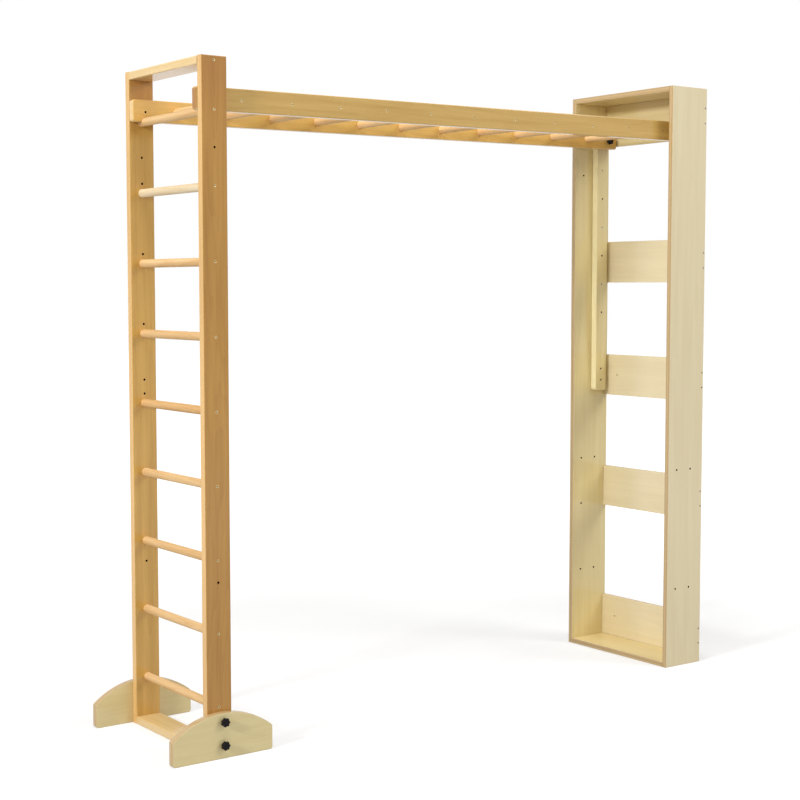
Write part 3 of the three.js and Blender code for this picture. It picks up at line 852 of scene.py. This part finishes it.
class CLIMBING_OT_screws(bpy.types.Operator):
    """Sets a plated screw head with a cross recess into each sunk hole"""

    bl_idname = "climbing.screws"
    bl_label = "Drive screws"

    def execute(self, context):
        hard = context.scene.climbing_hardware
        ladder = self.end_spots("upright_", LADDER_RUNGS + ["ladder_top_board", "ladder_bottom_board"])
        self.drive("ladder_screws", "free_ladder", ladder, hard, "brass_screw")
        overhead = self.end_spots("rail_", OVERHEAD_RUNGS)
        self.drive("overhead_screws", "overhead_ladder", overhead, hard, "brass_screw")
        box = self.box_spots(hard) + self.cleat_spots(hard)
        self.drive("box_screws", "wall_box", box, hard, "plated_steel")
        return {"FINISHED"}

    def end_spots(self, board, pieces):
        """(face point, way out) on a board's outer face, in front of the end of each piece that it holds."""
        spots = []
        for hand, side in SIDES.items():
            _, far = depths(board + hand)
            spots += [((middle(node)[0], side * far, middle(node)[2]), side) for node in pieces]
        return spots

    def box_spots(self, hard):
        """(face point, way out) of the two screws in each slat's end."""
        spots = []
        for hand, side in SIDES.items():
            _, far = depths("box_side_" + hand)
            for node in SLATS:
                x, _, z = middle(node)
                spots += [((x, side * far, z + way * hard.slat_screw_spacing / 2), side) for way in (-1, 1)]
        return spots

    def cleat_spots(self, hard):
        """(face point, way out) of the screws midway between a cleat's upper bolt holes."""
        spots = []
        for hand, side in SIDES.items():
            near, _ = depths("hanger_cleat_" + hand)
            x, _, z = middle("wall_insert_" + hand)
            drops = (np.arange(hard.cleat_screws) + 0.5) * RUNG_PITCH
            spots += [((x, side * near, z - drop), -side) for drop in drops]
        return spots

    def drive(self, name, body, spots, hard, material):
        """One mesh of like screw heads: the head's points are added to every spot at once."""
        points, faces = self.head(hard)
        place = np.array([spot for spot, way in spots])
        way = np.array([way for spot, way in spots], float)
        turned = points[None] * np.stack([np.ones_like(way), way, np.ones_like(way)], -1)[:, None]
        every = (place[:, None] + turned).reshape(-1, 3)
        faces = copies(faces, len(spots), len(points))
        heads = put_piece(name, every, faces, material, body)
        # A dark disc on each head's middle is painted shade in the recess.
        heads.data.materials.append(finish("painted_recess_shade"))
        self.shade_recesses(heads.data, place, hard)

    def shade_recesses(self, mesh, place, hard):
        """Gives the painted recess shade, a dark disc, to the faces within the recess radius of a head's
        axis.
        """
        centre = np.empty(len(mesh.polygons) * 3)
        mesh.polygons.foreach_get("center", centre)
        centre = centre.reshape(-1, 3)
        reach = np.hypot(*(centre[:, None, ::2] - place[None, :, ::2]).transpose(2, 0, 1)).min(1)
        mesh.polygons.foreach_set("material_index", (reach < hard.recess_shade_radius).astype(np.int32))

    def head(self, hard):
        """A countersunk head: rows from the shank's taper to the rim, then a flat top with a cross recess.

        The recess deepens with how far a point lies inside the nearer of two crossed bars, up to a limit.
        """
        columns = 32
        # Rows of the rim and of the flat top, as shares of the head's radius, and their heights
        rim = np.array([0.45, 0.97, 1.0, 0.96])
        rim_offset = np.array([-0.0014, -0.0002, 0.0, 0.00008])
        flat = np.array([0.78, 0.62, 0.5, 0.36, 0.22, 0.1])
        flat_offset = np.full(len(flat), 0.0001)
        radius = even(hard.screw_radius * np.concatenate([rim, flat]), columns)
        points, faces = spun(radius, np.concatenate([rim_offset, flat_offset]) - hard.screw_sink)
        bar = 0.28 * hard.screw_radius
        bar_end = 0.7 * hard.screw_radius
        bar_fade = 0.3 * hard.screw_radius
        bar_slope = 0.9
        deepest = 0.0008
        reach = np.hypot(points[:, 0], points[:, 2])
        inside = np.clip(bar - np.minimum(np.abs(points[:, 0]), np.abs(points[:, 2])), 0, None)
        inside *= np.clip((bar_end - reach) / bar_fade, 0, 1)
        top = np.arange(len(points)) >= len(rim) * columns
        shank_pole = -2
        top[shank_pole] = False
        points[:, 1] -= np.where(top, np.minimum(bar_slope * inside, deepest), 0.0)
        return points, faces


class CLIMBING_OT_hole_shades(bpy.types.Operator):
    """Lines the bolt holes with thin near-black tubes: painted shade that darkens the holes"""

    bl_idname = "climbing.sleeves"
    bl_label = "Line holes"

    def execute(self, context):
        hard = context.scene.climbing_hardware
        holes = context.scene.climbing_holes
        self.line("ladder_hole_shades", "free_ladder", self.upright_holes(holes), holes.plain_radius, hard)
        self.line("box_hole_shades", "wall_box", self.side_holes(holes), holes.plain_radius, hard)
        self.line("cleat_hole_shades", "wall_box", self.cleat_holes(holes), holes.stud_hole_radius, hard)
        self.line("rail_hole_shades", "overhead_ladder", self.rail_holes(holes), holes.stud_hole_radius, hard)
        return {"FINISHED"}

    def upright_holes(self, holes):
        """(x, z, start, end) of the blind holes beside each hook place, the spare one and the locks."""
        found = []
        top = middle(LADDER_RUNGS[-1])[2] + holes.hook_rise
        blind = top - np.arange(holes.hook_places) * RUNG_PITCH
        blind = [*blind, blind[-1] + holes.spare_offset]
        for hand, side in SIDES.items():
            node = "upright_" + hand
            near, far = depths(node)
            x = middle(node)[0]
            found += [(x, z, side * near, side * (near + holes.blind_depth)) for z in blind]
            found += [(x, z, side * near, side * far) for z in holes.lock_heights]
        return found

    def side_holes(self, holes):
        """(x, z, start, end) of the holes that lock the stored ladder and those that hold the feet."""
        found = []
        for hand, side in SIDES.items():
            node = "box_side_" + hand
            near, far = depths(node)
            front = corners(node)[0][0]
            bottom = side * (near + holes.blind_depth)
            locks = [z + holes.lock_lift for z in holes.lock_heights]
            found += [(front + holes.lock_depth, z, side * near, bottom) for z in locks]
            ways = (-holes.foot_spacing / 2, holes.foot_spacing / 2)
            feet = [(front + holes.foot_depth + way, z) for z in holes.foot_heights for way in ways]
            found += [(x, z, side * near, side * far) for x, z in feet]
        return found

    def cleat_holes(self, holes):
        """(x, z, start, end) of a cleat's bolt holes below the one in use, with the spare one."""
        found = []
        for hand, side in SIDES.items():
            near, far = depths("hanger_cleat_" + hand)
            x, _, z = middle("wall_insert_" + hand)
            free = z - np.arange(1, holes.hook_places) * RUNG_PITCH
            free = [*free, free[-1] - holes.spare_offset]
            found += [(x, height, side * near, side * far) for height in free]
        return found

    def rail_holes(self, holes):
        """(x, z, start, end) of the empty bolt hole at each rail's free end."""
        x, _, z = middle(LADDER_RUNGS[-1])
        found = []
        for hand, side in SIDES.items():
            near, far = depths("rail_" + hand)
            found.append((x, z + holes.hook_rise, side * near, side * far))
        return found

    def line(self, name, body, spots, hole_radius, hard):
        """One mesh of like near-black tubes of painted hole shade: each is a thin ring section spun about Y
        and stretched to its hole.
        """
        columns = 24
        outer = hole_radius - hard.hole_shade_gap
        inner = outer - hard.hole_shade_wall
        end_gap = 0.02  # share of a hole's length left bare at each end
        share = np.array([end_gap, 1 - end_gap, 1 - end_gap, end_gap])
        points = round_points(even([outer, outer, inner, inner], columns), share)
        x, z, start, end = np.array(spots)[:, :, None].transpose(1, 0, 2)
        along = start + (end - start) * points[:, 1]
        every = np.stack([x + points[:, 0], along, z + points[:, 2]], -1).reshape(-1, 3)
        faces = copies([tube_faces(len(share), columns, closed=True)], len(spots), len(points))
        put_piece(name, every, faces, "painted_hole_shade", body)


LAMPS = {
    "key_lamp": {"place": (-10.0, -2.2, 4.6), "target": (0.0, 0.0, 1.2), "size": 1.5},
    "fill_lamp": {"place": (4.6, -5.76, 5.68), "target": (1.1, -0.3, -3.0), "size": 4.2},
    "top_lamp": {"place": (-1.5, -0.6, 6.0), "target": (0.0, 0.0, 0.5), "size": 3.0},
}


class CLIMBING_OT_stage(bpy.types.Operator):
    """Sets the floor, the lamps, the sky and the camera"""

    bl_idname = "climbing.stage"
    bl_label = "Set stage"

    def execute(self, context):
        scene = context.scene
        stage = scene.climbing_stage
        scene.view_settings.view_transform = "Standard"
        self.floor(scene, stage)
        self.sky(scene, stage)
        powers = {"key_lamp": stage.key_power, "fill_lamp": stage.fill_power, "top_lamp": stage.top_power}
        for name, power in powers.items():
            self.lamp(scene, name, power, **LAMPS[name])
        self.camera(scene, stage)
        return {"FINISHED"}

    def camera(self, scene, stage):
        """The camera at its place, turned and dipped."""
        lens = bpy.data.cameras.new("camera")
        lens.sensor_width = SENSOR_WIDTH
        lens.lens = stage.lens
        lens.clip_end = 100
        camera = bpy.data.objects.new("camera", lens)
        camera.location = stage.camera_place
        camera.rotation_euler = (math.pi / 2 - stage.camera_dip, 0, -stage.camera_turn)
        scene.collection.objects.link(camera)
        scene.camera = camera

    def floor(self, scene, stage):
        """A level floor that keeps a soft shadow and is white to the camera elsewhere.

        Its own light grows with the distance from the set and makes up for what the lamps lose there.
        """
        reach = 30.0
        drop = 0.0005  # keeps the floor clear of the faces that stand on it
        side = np.array([-reach, reach])
        x, y = np.meshgrid(side, side)
        points = np.stack([x.ravel(), y.ravel(), np.full(x.size, -drop)], -1)
        mesh = bpy.data.meshes.new("floor")
        mesh.from_pydata(points, [], [[0, 1, 3, 2]])
        floor = bpy.data.objects.new("floor", mesh)
        scene.collection.objects.link(floor)
        material, tree, shader = new_material("floor")
        settle(shader, {"Base Color": rgba(stage.floor_tone), "Roughness": 0.9, "Specular IOR Level": 0.0})
        seen = self.seen(tree)
        soft = wire(tree, "ShaderNodeBsdfDiffuse", {"Color": rgba([stage.floor_shadow] * 3)}).outputs[0]
        spot = wire(tree, "ShaderNodeTexCoord").outputs["Object"]
        away = wire(tree, "ShaderNodeVectorMath", {0: spot}, operation="LENGTH").outputs["Value"]
        lift = ramp(tree, away, stage.glow_start, stage.glow_end, stage.glow_near, stage.glow_far)
        glow = wire(tree, "ShaderNodeEmission", {"Strength": lift}).outputs[0]
        white = wire(tree, "ShaderNodeAddShader", {0: soft, 1: glow}).outputs[0]
        both = wire(tree, "ShaderNodeMixShader", {0: seen, 1: shader.outputs[0], 2: white}).outputs[0]
        tree.links.new(both, tree.nodes["Material Output"].inputs["Surface"])
        mesh.materials.append(material)

    def sky(self, scene, stage):
        """Even light from all round, and white where it is seen or mirrored."""
        world = bpy.data.worlds.new("sky")
        scene.world = world
        world.use_nodes = True
        tree = world.node_tree
        seen = self.seen(tree)
        pure_white = (1, 1, 1, 1)
        light = tree.nodes["Background"]
        settle(light, {"Color": pure_white, "Strength": stage.sky_strength})
        white = wire(tree, "ShaderNodeBackground", {"Color": pure_white, "Strength": 1.0}).outputs[0]
        both = wire(tree, "ShaderNodeMixShader", {0: seen, 1: light.outputs[0], 2: white}).outputs[0]
        tree.links.new(both, tree.nodes["World Output"].inputs["Surface"])

    def seen(self, tree):
        """1 where a ray comes from the camera, a mirror or glass."""
        path = wire(tree, "ShaderNodeLightPath").outputs
        shiny = math_node(tree, "MAXIMUM", path["Is Glossy Ray"], path["Is Transmission Ray"])
        return math_node(tree, "MAXIMUM", path["Is Camera Ray"], shiny)

    def lamp(self, scene, name, power, place, target, size):
        """A square soft lamp turned to a target."""
        light = bpy.data.lights.new(name, "AREA")
        light.size = size
        light.energy = power
        lamp = bpy.data.objects.new(name, light)
        lamp.location = place
        aim = np.array(target) - np.array(place)
        turn = math.atan2(aim[1], aim[0]) - math.pi / 2
        tilt = math.atan2(aim[2], math.hypot(aim[0], aim[1])) + math.pi / 2
        lamp.rotation_euler = (tilt, 0, turn)
        scene.collection.objects.link(lamp)


OPERATORS = (
    CLIMBING_OT_boards,
    CLIMBING_OT_rungs,
    CLIMBING_OT_feet,
    CLIMBING_OT_knobs,
    CLIMBING_OT_screws,
    CLIMBING_OT_hole_shades,
    CLIMBING_OT_stage,
)


class CLIMBING_PT_panel(bpy.types.Panel):
    """Lists the settings and the steps"""

    bl_idname = "CLIMBING_PT_panel"
    bl_label = "Climbing set"
    bl_space_type = "VIEW_3D"
    bl_region_type = "UI"
    bl_category = "Climbing set"

    def draw(self, context):
        for group in SETTINGS:
            settings = getattr(context.scene, group)
            box = self.layout.box()
            for name in settings.bl_rna.properties.keys():
                if name not in ("rna_type", "name"):
                    box.prop(settings, name)
        for step in OPERATORS:
            self.layout.operator(step.bl_idname)


SETTINGS = {
    "climbing_wood": ClimbingWood,
    "climbing_hardware": ClimbingHardware,
    "climbing_holes": ClimbingHoles,
    "climbing_stage": ClimbingStage,
}


def register():
    for kind in (*SETTINGS.values(), *OPERATORS, CLIMBING_PT_panel):
        bpy.utils.register_class(kind)
    for name, kind in SETTINGS.items():
        setattr(bpy.types.Scene, name, bpy.props.PointerProperty(type=kind))


def unregister():
    for name in SETTINGS:
        delattr(bpy.types.Scene, name)
    for kind in (CLIMBING_PT_panel, *reversed(OPERATORS), *SETTINGS.values()):
        bpy.utils.unregister_class(kind)


def main():
    """Builds every piece in order."""
    register()
    bpy.ops.climbing.boards()
    bpy.ops.climbing.rungs()
    bpy.ops.climbing.feet()
    bpy.ops.climbing.knobs()
    bpy.ops.climbing.screws()
    bpy.ops.climbing.sleeves()
    bpy.ops.climbing.stage()


if __name__ == "__main__":
    main()
